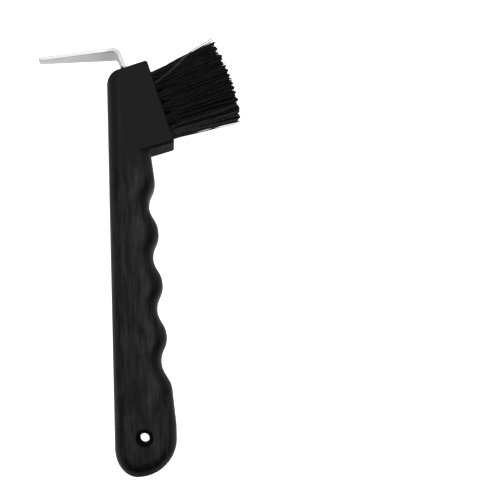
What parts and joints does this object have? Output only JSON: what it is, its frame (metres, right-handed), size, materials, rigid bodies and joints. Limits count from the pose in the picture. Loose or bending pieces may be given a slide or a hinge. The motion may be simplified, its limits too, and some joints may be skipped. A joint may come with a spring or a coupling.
{
  "type": "hoof pick with brush",
  "caption": "Hoof pick with a moulded black handle with finger grooves, a bent flat steel pick and a brush of stiff black bristles beside it.",
  "frame": {"origin": "centre of the hanging hole, half way through the handle's thickness", "axes": "+Y up the handle along its straight back, from the hanging hole to the head; +X towards the bristles, the pick points to -X; +Z through the thickness, up as the tool lies on its side"},
  "size_m": [0.0836, 0.1787, 0.022],
  "materials": {
    "handle_plastic": "black moulded plastic, smooth on the head, faintly streaked on the grip",
    "pick_steel": "plated mild steel, satin",
    "bristle_nylon": "stiff black nylon filament",
    "anchor_wire": "flat steel wire"
  },
  "bodies": {
    "root": {"handle": "handle_plastic", "pick": "pick_steel", "tuft_1_1": "bristle_nylon", "tuft_1_2": "bristle_nylon", "tuft_1_3": "bristle_nylon", "tuft_1_4": "bristle_nylon", "tuft_2_1": "bristle_nylon", "tuft_2_2": "bristle_nylon", "tuft_2_3": "bristle_nylon", "tuft_2_4": "bristle_nylon", "tuft_3_1": "bristle_nylon", "tuft_3_2": "bristle_nylon", "tuft_3_3": "bristle_nylon", "tuft_3_4": "bristle_nylon", "tuft_4_1": "bristle_nylon", "tuft_4_2": "bristle_nylon", "tuft_4_3": "bristle_nylon", "tuft_4_4": "bristle_nylon", "tuft_5_1": "bristle_nylon", "tuft_5_2": "bristle_nylon", "tuft_5_3": "bristle_nylon", "tuft_5_4": "bristle_nylon", "tuft_6_1": "bristle_nylon", "tuft_6_2": "bristle_nylon", "tuft_6_3": "bristle_nylon", "tuft_6_4": "bristle_nylon", "anchor_1_1": "anchor_wire", "anchor_1_2": "anchor_wire", "anchor_1_3": "anchor_wire", "anchor_1_4": "anchor_wire", "anchor_2_1": "anchor_wire", "anchor_2_2": "anchor_wire", "anchor_2_3": "anchor_wire", "anchor_2_4": "anchor_wire", "anchor_3_1": "anchor_wire", "anchor_3_2": "anchor_wire", "anchor_3_3": "anchor_wire", "anchor_3_4": "anchor_wire", "anchor_4_1": "anchor_wire", "anchor_4_2": "anchor_wire", "anchor_4_3": "anchor_wire", "anchor_4_4": "anchor_wire", "anchor_5_1": "anchor_wire", "anchor_5_2": "anchor_wire", "anchor_5_3": "anchor_wire", "anchor_5_4": "anchor_wire", "anchor_6_1": "anchor_wire", "anchor_6_2": "anchor_wire", "anchor_6_3": "anchor_wire", "anchor_6_4": "anchor_wire"}
  },
  "joints": []
}
